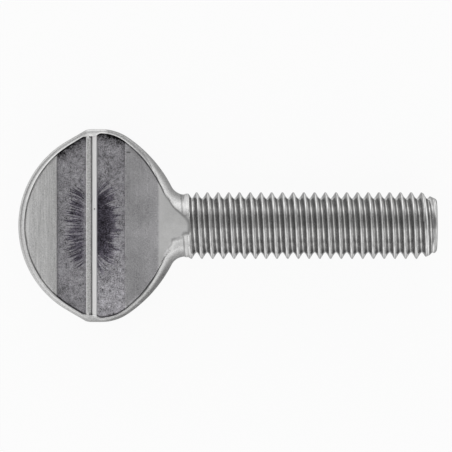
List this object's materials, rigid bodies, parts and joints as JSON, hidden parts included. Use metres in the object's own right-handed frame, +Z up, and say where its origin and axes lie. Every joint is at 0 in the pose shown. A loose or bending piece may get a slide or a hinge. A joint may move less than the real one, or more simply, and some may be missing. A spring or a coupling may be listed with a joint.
{
  "type": "thumb screw",
  "caption": "Spade-head thumb screw in bright steel: flat round head with a raised rim and a cross rib, on an M8 shank threaded up to the head.",
  "frame": {"origin": "on the thread's axis, where the shank leaves the head", "axes": "+X along the thread's axis from the head to the tip, +Z up with the screw lying on its thread and on one edge of its head, +Y across it"},
  "size_m": [0.0487, 0.0226, 0.0078],
  "materials": {
    "bright_steel": "forged and coined faces, rolled thread, left bright"
  },
  "bodies": {
    "root": {"thumb_screw": "bright_steel"}
  },
  "joints": []
}
